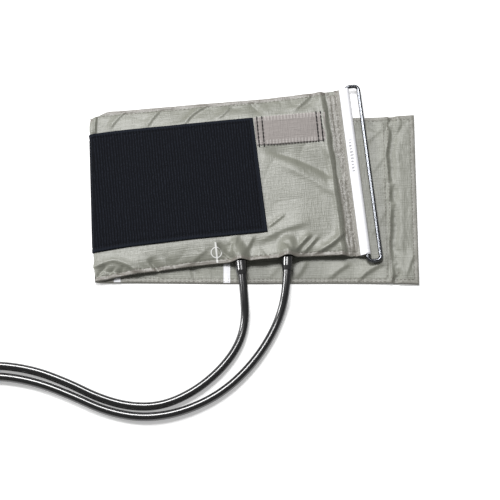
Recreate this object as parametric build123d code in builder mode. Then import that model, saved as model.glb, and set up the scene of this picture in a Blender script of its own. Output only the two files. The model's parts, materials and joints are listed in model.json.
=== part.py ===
from build123d import *
import os
from math import cos, degrees, pi, radians, sin, tan

# Blood pressure cuff for an adult arm, lying folded in two, in millimetres, +Z up.
# The upper half holds the bladder and lies along +X with its outer face up. The tail lies below
# it, turned about the fold, with its inner face up. X = Y = 0 is the middle of the cuff.

# --- driving dimensions -----------------------------------------------------------------------
# the cloth strip
strip_width = 147.5
upper_length = 224.4        # fold to the ring end, along the front edge
tail_length = 261.0         # fold to the free end, along the front edge
hook_length = 23.0          # the stiff end of the tail that carries the hook strip
lie_angle = 6.0             # the tail's turn against the upper half, seen from above, in degrees
cloth = 0.5                 # one layer of coated nylon
lay_gap = 0.5               # air between the two halves
fold_gap = 0.3              # clearance where one body ends and the next begins

# bladder
bladder_sheet = 0.8
bladder_start = 9.0         # from the fold corner
bladder_edge = 9.75         # from the strip's front edge
bladder_length = 193.0
bladder_width = 128.0
bladder_corner = 12.0
pocket_gap = 1.0            # room round the bladder in its pocket

# loop patch on the outer face, running round the fold
patch_thick = 1.5
patch_front = 25.5          # from the front edge of the strip
patch_width = 101.5
patch_on_upper = 141.5
patch_on_tail = 110.0
patch_seam = 4.2            # stitch line to edge

# hook strip under the end of the tail
hook_margin = 2.0

# gauge strap: a webbing loop beside the patch
webbing = 1.2
strap_width = 25.4
strap_start = 142.6
strap_length = 57.6
strap_front = 102.0
strap_tack = 7.5            # length sewn down at each end
strap_rise = 1.6            # clear height of the loop
strap_ramp = 4.0

# ring and the hem that holds it
wire = 3.3                  # ring wire diameter
ring_width = 10.6           # bar centre to bar centre
ring_front = -7.7           # outermost points of the ring, from the front edge of the strip
ring_back = 150.8
ring_corner = 3.8           # wire centre line
bar_play = 0.15             # hem to bar, all round
tape = 0.35                 # white index tape
tape_width = 8.4
hem_length = 13.0           # sleeve and tongue, sewn to the panels
hem_front = -0.5
hem_back = 145.2

# tubes
tube_diameter = 7.0
tube_bore = 3.5
sleeve_radius = 4.65
sleeve_mouth_radius = 3.95
sleeve_inside = 9.0         # behind the front edge
sleeve_outside = 8.1
sleeve_taper = 3.5
tube_socket = 6.0           # tube end held inside a sleeve or a connector
nipple_radius = 2.6
nipple_length = 7.0
flange_radius = 6.0
flange_thick = 1.0
exit_places = (118.3, 156.0)
exit_turns = (0.0, -8.0)    # degrees from straight out of the front edge, towards +X
exit_clear = 0.2            # sleeve to cloth
hood_inside = 8.8           # half the inner width of the cloth tunnel over each exit
hood_round = 4.0

# connectors at the tube ends
collar_radius = 4.1
connector_body = 8.0
nozzle_radius = 2.4
nozzle_length = 10.0
nozzle_bore = 1.2
bell_radius = 4.2
bell_bore = 2.5
bell_depth = 11.0
bell_length = 14.0
grip_radius = 4.6
grip_width = 1.6

# print, tapes and thread on the cloth
ink = 0.12
mark_place = (99.4, 13.7)
mark_diameter = 9.3
mark_line = 17.0
mark_stroke = 1.1
range_tape = 0.25
range_width = 5.4
range_places = (16.9, 106.0)
thread = 0.15               # height that a row of stitches stands proud
thread_width = 0.6
seam_inset = 3.2
row_pitch = 3.8

# tube routes beyond the straight run out of each sleeve, chosen by hand: down to the surface,
# round to the left, and put away in one loose loop
straight_out = 22.0
tube_routes = (
    ((117, -46), (109, -66), (93, -84), (70.5, -99.5), (44, -108.5), (19, -106.5), (-5, -97),
     (-28.5, -82), (-55, -68.5), (-84, -61), (-111, -60.5), (-135.8, -67.5), (-153, -84.3),
     (-160.4, -107), (-156.2, -130.6, 4.2), (-140, -149, 4.7)),
    ((146, -43), (134, -63.5), (118, -82.5), (98, -99), (76, -110), (50, -116.5), (24, -116),
     (-2, -107.5), (-27, -92.5), (-54, -78.5), (-84, -70), (-111, -69.5), (-132.7, -75.7),
     (-147.9, -92.5), (-151.8, -114.8), (-143.3, -135.7, 3.8), (-125, -148.5, 4.5), (-107, -151, 4.7)),
)

# --- worked out from the driving dimensions ---------------------------------------------------
half_lie = lie_angle / 2
tail_cloth_z = patch_thick
tail_top_z = tail_cloth_z + 2 * cloth
lining_z = tail_top_z + lay_gap
bladder_z = lining_z + cloth
bladder_top_z = bladder_z + 2 * bladder_sheet
cover_top_z = bladder_top_z + cloth
patch_top_z = cover_top_z + patch_thick
patch_back = patch_front + patch_width
spine_thick = 2 * cloth + patch_thick
fold_width = strip_width / cos(radians(half_lie))

# The fold's outer skin bends round spine_thick, and each hinge sits where that length is kept.
fold_arc = spine_thick * pi / 2
fold_axis_n = -fold_arc / 2
upper_axis_z = patch_top_z - spine_thick + fold_arc / 2
lower_axis_z = spine_thick - fold_arc / 2
print(f"hinges {-fold_axis_n:.3f} behind the fold line, at {upper_axis_z:.3f} and {lower_axis_z:.3f} high")

hem_radius = wire / 2 + bar_play + cloth
bar_x = upper_length - tape - hem_radius
bar_z = tail_top_z + fold_gap + tape + hem_radius
hem_start = upper_length - hem_length
tape_start = upper_length - tape_width
seam_x = tail_length - hook_length
tube_radius = tube_diameter / 2
exit_z = bladder_z + sleeve_radius

# The strip's lowest, highest, leftmost and rightmost corners place the middle of the cuff.
left = -spine_thick * cos(radians(half_lie))
right = tail_length * cos(radians(lie_angle)) + strip_width * sin(radians(lie_angle))
front = -tail_length * sin(radians(lie_angle))
back = ring_back
shift = Vector(-(left + right) / 2, -(front + back) / 2, 0)


def turned(angle, height=0.0):
    """A level plane through the fold's front corner, its X turned clockwise by an angle."""
    turn = radians(angle)
    return Plane(origin=shift + Vector(0, 0, height), x_dir=(cos(turn), -sin(turn), 0), z_dir=(0, 0, 1))


def upper(height):
    return turned(0, height)


def tail(height):
    return turned(lie_angle, height)


def fold(height):
    return turned(half_lie, height)


def panel(lean, low, high, end):
    """A face from the leaning fold edge to a straight end, between two edges of the strip."""
    slope = lean * tan(radians(half_lie))
    start = fold_gap / cos(radians(half_lie))
    corners = [(start + slope * low, low), (end, low), (end, high), (start + slope * high, high)]
    Polygon(*corners, align=None)


def box_face(low_x, high_x, low_y, high_y):
    """A rectangle given by its edges."""
    with Locations(((low_x + high_x) / 2, (low_y + high_y) / 2)):
        Rectangle(high_x - low_x, high_y - low_y)


def stitch_x(low_x, high_x, y):
    """A row of stitches along X."""
    box_face(low_x, high_x, y - thread_width / 2, y + thread_width / 2)


def stitch_y(x, low_y, high_y):
    """A row of stitches along Y."""
    box_face(x - thread_width / 2, x + thread_width / 2, low_y, high_y)


def exit_plane(place, turn):
    """The vertical plane that holds a tube exit's axis: X points out of the cuff, Y up."""
    way = Vector(sin(radians(turn)), -cos(radians(turn)), 0)
    return Plane(origin=shift + Vector(place, 0, exit_z), x_dir=way, z_dir=way.cross(Vector(0, 0, 1)))


def save(piece, name):
    piece.part.label = name
    export_step(piece.part, f"parts/{name}.step")


os.makedirs("parts", exist_ok=True)
exits = [exit_plane(place, turn) for place, turn in zip(exit_places, exit_turns)]
port_setback = sleeve_inside + flange_radius + fold_gap
hood_length = port_setback + flange_radius + pocket_gap + cloth
bladder_middle = (bladder_start + bladder_length / 2, bladder_edge + bladder_width / 2)

# --- upper half: panels, bladder and patch ----------------------------------------------------
with BuildPart() as inner_lining:
    with BuildSketch(upper(lining_z)):
        panel(1, 0, strip_width, hem_start)
    extrude(amount=cloth)
save(inner_lining, "inner_lining")

with BuildPart() as bladder_back:
    with BuildSketch(upper(bladder_z)):
        with Locations(bladder_middle):
            RectangleRounded(bladder_length, bladder_width, bladder_corner)
    extrude(amount=bladder_sheet)
save(bladder_back, "bladder_back")

with BuildPart() as bladder_front:
    with BuildSketch(upper(bladder_z + bladder_sheet)):
        with Locations(bladder_middle):
            RectangleRounded(bladder_length, bladder_width, bladder_corner)
        for exit_at in exits:
            port = exit_at.from_local_coords((-port_setback, 0, 0)) - shift
            with Locations((port.X, port.Y)):
                Circle(tube_bore / 2, mode=Mode.SUBTRACT)
    extrude(amount=bladder_sheet)
save(bladder_front, "bladder_front")

hood_top = exit_z + sleeve_radius + exit_clear + cloth
with BuildPart() as tunnels:
    with BuildSketch(upper(bladder_z)):
        for place in exit_places:
            with Locations((place, hood_length / 2)):
                Rectangle(2 * hood_inside, hood_length - 2 * cloth)
    extrude(amount=hood_top - cloth - bladder_z)
    fillet(tunnels.faces().group_by(Axis.Z)[-1].edges(), radius=hood_round)

with BuildPart() as outer_cover:
    with BuildSketch(upper(bladder_z)):
        panel(1, 0, strip_width, hem_start)
    extrude(amount=cover_top_z - bladder_z)
    with BuildSketch(upper(bladder_z)):
        with Locations(bladder_middle):
            RectangleRounded(bladder_length + 2 * pocket_gap, bladder_width + 2 * pocket_gap,
                             bladder_corner + pocket_gap)
    extrude(amount=2 * bladder_sheet, mode=Mode.SUBTRACT)
    with BuildSketch(upper(cover_top_z)):
        for place in exit_places:
            with Locations((place, hood_length / 2)):
                Rectangle(2 * (hood_inside + cloth), hood_length)
    extrude(amount=hood_top - cover_top_z)
    fillet(outer_cover.faces().group_by(Axis.Z)[-1].edges(), radius=hood_round + cloth)
    add(tunnels.part, mode=Mode.SUBTRACT)
    for exit_at in exits:
        with BuildSketch(Plane(origin=exit_at.origin, x_dir=exit_at.z_dir, z_dir=exit_at.x_dir)):
            Circle(sleeve_radius + exit_clear)
            box_face(-sleeve_radius - exit_clear, sleeve_radius + exit_clear, 0, 2 * sleeve_radius)
        extrude(amount=sleeve_inside / 2, both=True, mode=Mode.SUBTRACT)
save(outer_cover, "outer_cover")

with BuildPart() as loop_patch:
    with BuildSketch(upper(cover_top_z)):
        panel(1, patch_front, patch_back, patch_on_upper)
    extrude(amount=patch_thick)
save(loop_patch, "loop_patch")

with BuildPart() as patch_stitches:
    with BuildSketch(upper(patch_top_z)):
        stitch_x(patch_seam + 8, patch_on_upper - patch_seam, patch_front + patch_seam)
        stitch_x(patch_seam + 8, patch_on_upper - patch_seam, patch_back - patch_seam)
        stitch_y(patch_on_upper - patch_seam, patch_front + patch_seam, patch_back - patch_seam)
    extrude(amount=thread)
save(patch_stitches, "patch_stitches")

with BuildPart() as artery_mark:
    with BuildSketch(upper(cover_top_z)):
        with Locations(mark_place):
            Circle(mark_diameter / 2)
            Circle(mark_diameter / 2 - mark_stroke, mode=Mode.SUBTRACT)
            Rectangle(mark_stroke, mark_line)
    extrude(amount=ink)
save(artery_mark, "artery_mark")

with BuildPart() as hem_stitches:
    with BuildSketch(upper(cover_top_z)):
        first_hood = exit_places[0] - hood_inside - 2 * cloth
        last_hood = exit_places[1] + hood_inside + 2 * cloth
        stitch_x(seam_inset, first_hood, seam_inset)
        stitch_x(last_hood, hem_start - row_pitch, seam_inset)
        stitch_x(seam_inset + strip_width * tan(radians(half_lie)), hem_start - row_pitch,
                 strip_width - seam_inset)
        for row in range(2):
            stitch_y(hem_start - (row + 0.5) * thread_width - row * row_pitch / 2, seam_inset,
                     strip_width - seam_inset)
    extrude(amount=thread)
save(hem_stitches, "hem_stitches")

# --- gauge strap: webbing that rises between its two sewn ends --------------------------------
strap_end = strap_start + strap_length
with BuildPart() as gauge_strap:
    with BuildSketch(Plane(origin=upper(cover_top_z).from_local_coords((0, strap_front + strap_width, 0)),
                           x_dir=(1, 0, 0), z_dir=(0, -1, 0))):
        with BuildLine():
            low = [(strap_start, 0), (strap_start + strap_tack, 0),
                   (strap_start + strap_tack + strap_ramp, strap_rise),
                   (strap_end - strap_tack - strap_ramp, strap_rise), (strap_end - strap_tack, 0),
                   (strap_end, 0)]
            Polyline(*low, *[(x, y + webbing) for x, y in reversed(low)], close=True)
        make_face()
    extrude(amount=strap_width)
save(gauge_strap, "gauge_strap")

with BuildPart() as strap_stitches:
    with BuildSketch(upper(cover_top_z + webbing)):
        for x in (strap_start + 1.5, strap_start + 1.5 + row_pitch,
                  strap_end - 1.5 - row_pitch, strap_end - 1.5):
            stitch_y(x, strap_front + 0.5, strap_front + strap_width - 0.5)
    extrude(amount=thread)
save(strap_stitches, "strap_stitches")

# --- ring, its hem and the index tape, as profiles along the width ----------------------------
hem_plane = Plane(origin=upper(0).from_local_coords((0, hem_back, 0)), x_dir=(1, 0, 0), z_dir=(0, -1, 0))
hem_run = hem_back - hem_front
with BuildPart() as ring_hem:
    with BuildSketch(hem_plane):
        box_face(hem_start, tape_start, lining_z, cover_top_z)
        with Locations((bar_x, bar_z)):
            Circle(hem_radius)
        make_hull()
        with Locations((bar_x, bar_z)):
            Circle(wire / 2 + bar_play, mode=Mode.SUBTRACT)
    extrude(amount=hem_run)
save(ring_hem, "ring_hem")

with BuildPart() as index_tape:
    with BuildSketch(hem_plane):
        box_face(hem_start, tape_start, lining_z, cover_top_z)
        with Locations((bar_x, bar_z)):
            Circle(hem_radius)
        make_hull()
        offset(amount=tape)
        split(bisect_by=Plane(origin=(tape_start, 0, 0), z_dir=(1, 0, 0)))
    extrude(amount=hem_run)
    add(ring_hem.part, mode=Mode.SUBTRACT)
    with BuildSketch(hem_plane):
        with Locations((bar_x, bar_z)):
            Circle(hem_radius)
    extrude(amount=hem_run, mode=Mode.SUBTRACT)
save(index_tape, "index_tape")

with BuildPart() as ring:
    with BuildLine(Plane(origin=upper(bar_z).from_local_coords((bar_x, 0, 0)), z_dir=(0, 0, 1))):
        low = ring_front + wire / 2
        high = ring_back - wire / 2
        middle = (low + high) / 2
        front_end = FilletPolyline((0, middle), (0, low), (ring_width, low), (ring_width, middle),
                                   radius=ring_corner)
        FilletPolyline((ring_width, middle), (ring_width, high), (0, high), (0, middle), radius=ring_corner)
    with BuildSketch(Plane(origin=front_end @ 0, z_dir=front_end % 0)):
        Circle(wire / 2)
    sweep()
save(ring, "ring")

# --- tube exits: a moulded port on the bladder and a sleeve that holds the tube ---------------
for number, exit_at in enumerate(exits, start=1):
    port_at = exit_at.from_local_coords((-port_setback, 0, 0))
    nipple_from = Plane(origin=port_at, z_dir=exit_at.x_dir)
    with BuildPart() as port:
        with BuildSketch(Plane(origin=(port_at.X, port_at.Y, bladder_top_z))):
            Circle(flange_radius)
        extrude(amount=flange_thick)
        with BuildSketch(Plane(origin=(port_at.X, port_at.Y, bladder_top_z))):
            Circle(nipple_radius + 1)
        extrude(amount=exit_z + nipple_radius + 1 - bladder_top_z)
        with BuildSketch(nipple_from):
            Circle(nipple_radius)
        extrude(amount=port_setback - sleeve_inside + nipple_length)
        with BuildSketch(nipple_from):
            Circle(tube_bore / 2)
        extrude(amount=port_setback - sleeve_inside + nipple_length, mode=Mode.SUBTRACT)
        with BuildSketch(Plane(origin=(port_at.X, port_at.Y, bladder_top_z))):
            Circle(tube_bore / 2)
        extrude(amount=exit_z - bladder_top_z, mode=Mode.SUBTRACT)
    save(port, f"bladder_port_{number}")

    with BuildPart() as sleeve:
        with BuildSketch(exit_at):
            with BuildLine():
                Polyline((-sleeve_inside, nipple_radius), (-sleeve_inside, sleeve_radius),
                         (sleeve_outside - sleeve_taper, sleeve_radius),
                         (sleeve_outside, sleeve_mouth_radius), (sleeve_outside, tube_radius),
                         (sleeve_outside - tube_socket, tube_radius),
                         (sleeve_outside - tube_socket, tube_bore / 2),
                         (nipple_length - sleeve_inside, tube_bore / 2),
                         (nipple_length - sleeve_inside, nipple_radius), close=True)
            make_face()
        revolve(axis=Axis(exit_at.origin, exit_at.x_dir))
    save(sleeve, f"tube_sleeve_{number}")


# --- tubes: straight runs joined by arcs as large as the runs allow ---------------------------
def route_points(exit_at, route):
    """The route in the cuff's frame: straight out of the sleeve, then along the surface."""
    straight = [exit_at.from_local_coords((reach, 0, 0))
                for reach in (sleeve_outside - tube_socket, straight_out)]
    return straight + [shift + Vector(x, y, height[0] if height else tube_radius)
                       for x, y, *height in route]


def corner_radii(points):
    radii = []
    for before, here, after in zip(points, points[1:], points[2:]):
        half_turn = radians((here - before).get_angle(after - here)) / 2
        radii.append(0.45 * min((here - before).length, (after - here).length) / tan(half_turn))
    return radii


ends = []
for number, (exit_at, route) in enumerate(zip(exits, tube_routes), start=1):
    points = route_points(exit_at, route)
    bends = corner_radii(points)
    with BuildPart() as tube:
        with BuildLine():
            tube_path = FilletPolyline(*points, radius=bends)
        with BuildSketch(Plane(origin=tube_path @ 0, z_dir=tube_path % 0)):
            Circle(tube_radius)
        sweep(path=tube_path)
    save(tube, f"tube_{number}")
    way = tube_path % 1
    ends.append(Plane(origin=tube_path @ 1, x_dir=way, z_dir=way.cross(Vector(0, 0, 1))))
    swept = tube.part.volume / (pi * tube_radius ** 2)
    print(f"tube_{number}: {tube_path.length:.1f} long, volume over section {swept:.1f}, radii",
          [round(bend) for bend in bends])

# --- connectors: one slips into the other's kind, so that the two tubes can't be swapped ------
with BuildPart() as connector_male:
    with BuildSketch(ends[0]):
        with BuildLine():
            Polyline((-tube_socket, tube_radius), (-tube_socket, collar_radius - 0.5),
                     (-tube_socket + 1, collar_radius), (connector_body - 1, collar_radius),
                     (connector_body, nozzle_radius), (connector_body + nozzle_length, nozzle_radius),
                     (connector_body + nozzle_length, nozzle_bore), (0, nozzle_bore), (0, tube_radius),
                     close=True)
        make_face()
        box_face(1, 1 + grip_width, nozzle_radius, grip_radius)
        box_face(1 + 2 * grip_width, 1 + 3 * grip_width, nozzle_radius, grip_radius)
    revolve(axis=Axis(ends[0].origin, ends[0].x_dir))
save(connector_male, "tube_connector_1")

with BuildPart() as connector_female:
    with BuildSketch(ends[1]):
        with BuildLine():
            Polyline((-tube_socket, tube_radius), (-tube_socket, bell_radius - 0.5),
                     (-tube_socket + 1, bell_radius), (bell_length, bell_radius), (bell_length, bell_bore),
                     (bell_length - bell_depth, bell_bore), (bell_length - bell_depth, nozzle_bore),
                     (0, nozzle_bore), (0, tube_radius), close=True)
        make_face()
        box_face(bell_length - grip_width, bell_length, bell_radius - 1, grip_radius)
        box_face(1, 1 + grip_width, bell_radius - 1, grip_radius)
    revolve(axis=Axis(ends[1].origin, ends[1].x_dir))
save(connector_female, "tube_connector_2")

# --- fold: a narrow spine between the two halves ----------------------------------------------
spine_layers = {"spine_lining": (-cloth, 0), "spine_cover": (-2 * cloth, -cloth)}
for name, (inner, outer) in spine_layers.items():
    with BuildPart() as spine_cloth:
        with BuildSketch(fold(tail_cloth_z)):
            box_face(inner, outer, 0, fold_width)
        extrude(amount=cover_top_z - tail_cloth_z)
    save(spine_cloth, name)

with BuildPart() as spine_patch:
    with BuildSketch(fold(0)):
        box_face(-spine_thick, -2 * cloth, patch_front, patch_back)
    extrude(amount=patch_top_z)
save(spine_patch, "spine_patch")

# --- tail -------------------------------------------------------------------------------------
with BuildPart() as tail_cover:
    with BuildSketch(tail(tail_cloth_z)):
        panel(-1, 0, strip_width, seam_x)
    extrude(amount=cloth)
save(tail_cover, "tail_cover")

with BuildPart() as tail_lining:
    with BuildSketch(tail(tail_cloth_z + cloth)):
        panel(-1, 0, strip_width, seam_x)
    extrude(amount=cloth)
save(tail_lining, "tail_lining")

with BuildPart() as tail_patch:
    with BuildSketch(tail(0)):
        panel(-1, patch_front, patch_back, patch_on_tail)
    extrude(amount=patch_thick)
save(tail_patch, "tail_patch")

with BuildPart() as range_lines:
    with BuildSketch(tail(tail_top_z)):
        for place in range_places:
            box_face(place - range_width / 2, place + range_width / 2, 0, strip_width)
    extrude(amount=range_tape)
save(range_lines, "range_lines")

with BuildPart() as tail_stitches:
    with BuildSketch(tail(tail_top_z)):
        gaps = [2 * seam_inset, *range_places, seam_x]
        for begin, finish in zip(gaps, gaps[1:]):
            for y in (seam_inset, strip_width - seam_inset):
                stitch_x(begin + range_width / 2 + cloth, finish - range_width / 2 - cloth, y)
    extrude(amount=thread)
save(tail_stitches, "tail_stitches")

# --- the stiff end of the tail, which lifts to peel the hook strip off the patch --------------
flap_start = seam_x + fold_gap
with BuildPart() as hook_strip:
    with BuildSketch(tail(0)):
        box_face(flap_start, tail_length - hook_margin / 2, hook_margin, strip_width - hook_margin)
    extrude(amount=patch_thick)
save(hook_strip, "hook_strip")

with BuildPart() as tail_end_cover:
    with BuildSketch(tail(tail_cloth_z)):
        box_face(flap_start, tail_length, 0, strip_width)
    extrude(amount=cloth)
save(tail_end_cover, "tail_end_cover")

with BuildPart() as tail_end_lining:
    with BuildSketch(tail(tail_cloth_z + cloth)):
        box_face(flap_start, tail_length, 0, strip_width)
    extrude(amount=cloth)
save(tail_end_lining, "tail_end_lining")

with BuildPart() as hook_stitches:
    with BuildSketch(tail(tail_top_z)):
        stitch_y(flap_start + seam_inset / 2, seam_inset, strip_width - seam_inset)
        stitch_y(tail_length - seam_inset, seam_inset, strip_width - seam_inset)
        for y in (seam_inset, strip_width - seam_inset):
            stitch_x(flap_start + seam_inset / 2, tail_length - seam_inset, y)
    extrude(amount=thread)
save(hook_stitches, "hook_stitches")
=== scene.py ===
"""Blood pressure cuff, folded in two on a pale floor: two sewn halves, loop patch, strap, ring and tubes.

Lengths are in millimetres in the cuff's two flat frames, and turn to metres where a mesh is made.
Upper half: u runs from the fold along its length, v from its front edge to its back edge.
Tail: x and y run the same way, turned clockwise by the angle that the halves lie at.
"""
import json
import math

import bpy
import numpy as np
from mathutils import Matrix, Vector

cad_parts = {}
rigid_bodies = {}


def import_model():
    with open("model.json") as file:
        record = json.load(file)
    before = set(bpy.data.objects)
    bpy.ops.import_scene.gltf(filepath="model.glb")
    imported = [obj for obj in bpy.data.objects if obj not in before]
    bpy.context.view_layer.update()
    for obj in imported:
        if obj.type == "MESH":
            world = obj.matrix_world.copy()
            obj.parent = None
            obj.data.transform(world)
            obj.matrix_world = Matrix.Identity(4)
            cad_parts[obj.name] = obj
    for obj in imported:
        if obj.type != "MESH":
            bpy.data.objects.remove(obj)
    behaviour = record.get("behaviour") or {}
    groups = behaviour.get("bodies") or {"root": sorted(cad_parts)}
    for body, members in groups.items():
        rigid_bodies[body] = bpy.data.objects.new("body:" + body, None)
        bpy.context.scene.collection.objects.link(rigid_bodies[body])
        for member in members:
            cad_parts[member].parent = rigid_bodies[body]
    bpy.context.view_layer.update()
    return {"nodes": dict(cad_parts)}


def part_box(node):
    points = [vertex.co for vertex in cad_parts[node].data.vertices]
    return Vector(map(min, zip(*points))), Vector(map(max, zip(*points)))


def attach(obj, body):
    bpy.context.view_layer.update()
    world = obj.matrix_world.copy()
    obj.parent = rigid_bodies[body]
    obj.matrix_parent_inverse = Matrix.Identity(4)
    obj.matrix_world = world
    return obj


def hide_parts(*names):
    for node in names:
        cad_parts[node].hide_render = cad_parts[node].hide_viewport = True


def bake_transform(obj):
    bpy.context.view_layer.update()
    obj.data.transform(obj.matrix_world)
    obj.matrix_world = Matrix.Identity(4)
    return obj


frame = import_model()

# --- places, read from the frame -------------------------------------------------------------------------
MM = 0.001
FOLD_GAP = 0.3                                    # from the fold line to where a half's cloth starts
LIE = math.radians(6.0)                           # the tail's turn under the upper half
HALF_LIE = math.tan(LIE / 2)                      # how far the fold line leans, per length
lining_low, lining_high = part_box("inner_lining")
CORNER = np.array([lining_low.x / MM - FOLD_GAP, lining_low.y / MM, 0.0])
WIDTH = (lining_high.y - lining_low.y) / MM       # the strip that both halves are cut from
LINING_TOP = lining_high.z / MM
COVER_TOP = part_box("loop_patch")[0].z / MM
PATCH_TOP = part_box("loop_patch")[1].z / MM
TAIL_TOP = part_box("tail_lining")[1].z / MM
TAIL_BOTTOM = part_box("tail_cover")[0].z / MM
CLOTH = (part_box("tail_lining")[1].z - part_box("tail_lining")[0].z) / MM
MID_Z = (COVER_TOP + TAIL_BOTTOM) / 2             # the middle of the fold
TAPE_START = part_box("index_tape")[0].x / MM - CORNER[0]
BAR_Z = (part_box("ring")[0].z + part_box("ring")[1].z) / 2 / MM
HEM_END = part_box("ring_hem")[1].x / MM - CORNER[0]
HEM_RADIUS = 2.3
BAR_U = HEM_END - HEM_RADIUS
STRAP_LOW, STRAP_HIGH = (np.array(corner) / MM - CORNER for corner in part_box("gauge_strap"))
MARK_LOW, MARK_HIGH = (np.array(corner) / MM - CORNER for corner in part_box("artery_mark"))
SEAM_X = 238.0                                    # where the hook flap starts on the tail
TAIL_END_X = 261.8
EXITS_U = (118.3, 156.0)                          # where the tubes leave the front edge
SLEEVE_TOP = 12.9
HEM_SEAMS = (208.6, 212.4)                        # the ring hem's two stitch rows

# Tube routes: the control points of each tube, in metres in the row frame.
TUBE_RADIUS = 0.0035
TUBE_ROUTES = (
    ((-0.0179, -0.0639, 0.0082), (-0.0179, -0.0838, 0.0082), (-0.0192, -0.1078, 0.0035),
     (-0.0272, -0.1278, 0.0035), (-0.0432, -0.1458, 0.0035), (-0.0657, -0.1613, 0.0035),
     (-0.0922, -0.1703, 0.0035), (-0.1172, -0.1683, 0.0035), (-0.1412, -0.1588, 0.0035),
     (-0.1647, -0.1438, 0.0035), (-0.1912, -0.1303, 0.0035), (-0.2202, -0.1228, 0.0035),
     (-0.2472, -0.1223, 0.0035), (-0.2720, -0.1293, 0.0035), (-0.2892, -0.1461, 0.0035),
     (-0.2966, -0.1688, 0.0035), (-0.2924, -0.1924, 0.0042), (-0.2762, -0.2108, 0.0047)),
    ((0.0195, -0.0638, 0.0082), (0.0167, -0.0835, 0.0082), (0.0098, -0.1048, 0.0035),
     (-0.0022, -0.1253, 0.0035), (-0.0182, -0.1443, 0.0035), (-0.0382, -0.1608, 0.0035),
     (-0.0602, -0.1718, 0.0035), (-0.0862, -0.1783, 0.0035), (-0.1122, -0.1778, 0.0035),
     (-0.1382, -0.1693, 0.0035), (-0.1632, -0.1543, 0.0035), (-0.1902, -0.1403, 0.0035),
     (-0.2202, -0.1318, 0.0035), (-0.2472, -0.1313, 0.0035), (-0.2689, -0.1375, 0.0035),
     (-0.2841, -0.1543, 0.0035), (-0.2880, -0.1766, 0.0035), (-0.2795, -0.1975, 0.0038),
     (-0.2612, -0.2103, 0.0045), (-0.2432, -0.2128, 0.0047)),
)
TUBE_LENGTHS = (0.429, 0.467)


# --- curves and fields -----------------------------------------------------------------------------------
def ease(t):
    """0 below 0, 1 above 1, and a smooth S between."""
    t = np.clip(t, 0.0, 1.0)
    return t * t * (3 - 2 * t)


def bell(distance, width):
    """1 at distance 0, falling off to both sides like a bell of that half width."""
    return np.exp(-(distance / width) ** 2)


def through(x, stations, heights):
    """A smooth line through a few points: a cubic between each two, with slopes from the neighbours."""
    stations, heights = np.array(stations, float), np.array(heights, float)
    slopes = np.gradient(heights, stations)
    i = np.clip(np.searchsorted(stations, x) - 1, 0, len(stations) - 2)
    step = stations[i + 1] - stations[i]
    t = np.clip((x - stations[i]) / step, 0, 1)
    start = heights[i] * (1 + 2 * t) * (1 - t) ** 2 + step * slopes[i] * t * (1 - t) ** 2
    return start + heights[i + 1] * t * t * (3 - 2 * t) - step * slopes[i + 1] * t * t * (1 - t)


def ripple(u, v, length, turn):
    """Soft waves: the mean of five sines of about that length, each in its own direction."""
    total = 0.0
    for k in range(5):
        angle = turn + 2.4 * k
        along = u * math.cos(angle) + v * math.sin(angle)
        total = total + np.sin(2 * math.pi * along / (length * (0.8 + 0.13 * k)) + 1.7 * k * k + turn)
    return total / 5


def crumple(u, v, length, turn):
    """Creased cloth: 0 on a network of sharp folds about that length apart, up to 1 on facets between."""
    bent = v + 0.12 * length * np.sin(u / (0.31 * length) + turn)
    return np.abs(ripple(u, bent, length, turn)) ** 0.7


def crease(u, v, start, end, height, width, bow=0.0):
    """A fold from start to end, bowed sideways at its middle, fading at its ends.

    Across it the cloth falls sharply on the right of the way it runs, and softly on its left.
    A negative height is a valley.
    """
    du, dv = end[0] - start[0], end[1] - start[1]
    length = math.hypot(du, dv)
    along = ((u - start[0]) * du + (v - start[1]) * dv) / length ** 2
    across = ((v - start[1]) * du - (u - start[0]) * dv) / length
    across = across - bow * 4 * along * (1 - along)
    ends = ease((along + 0.15) / 0.4) * ease((1.15 - along) / 0.4)
    reach = np.where(across > 0, width * 2.0, width * 0.6)
    return height * ends * np.exp(-np.abs(across / reach) ** 1.6)


def hem_relief(depth, along, pitch=3.1):
    """The sewn edge: cloth slopes down to the hem, dips at the stitch row and rounds off at the very edge."""
    slope = -0.8 * ease(1 - depth / 9)
    welt = 0.05 * bell(depth - 1.6, 1.1)
    stitched = -0.32 * bell(depth - 3.4, 0.6) * (0.65 + 0.35 * np.cos(2 * math.pi * along / pitch))
    uneven = np.sin(along / 3.7 + 2.6 * np.sin(along / 11.3) + 1.7 * np.sin(along / 29))
    pucker = 0.16 * uneven * bell(depth - 5.0, 3.4)
    radius = 0.6
    inside = np.clip(radius - depth, 0, radius)
    rounded = -(radius - np.sqrt(radius ** 2 - inside ** 2))
    return slope + welt + stitched + pucker + rounded


# --- the upper half's shape -------------------------------------------------------------------------------
def front_edge(u):
    """v of the upper half's front edge, which is drawn in a little between the corners."""
    return through(u, (-6, 0, 8, 20, 52, 96, 131, 158, 179, 200, 216, 224),
                   (0.8, 0.2, 0.6, 2.0, 3.6, 4.5, 3.5, 3.2, 2.4, 0.8, -0.5, -0.3))


def back_edge(u):
    """v of the upper half's back edge, with the fold's corner pulled in."""
    return through(u, (-6, 2, 6, 10, 14, 24, 77, 149, 202, 217, 224),
                   (142.0, 143.4, 144.8, 146.6, 147.8, 147.6, 147.1, 145.9, 147.2, 147.6, 147.4))


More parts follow.
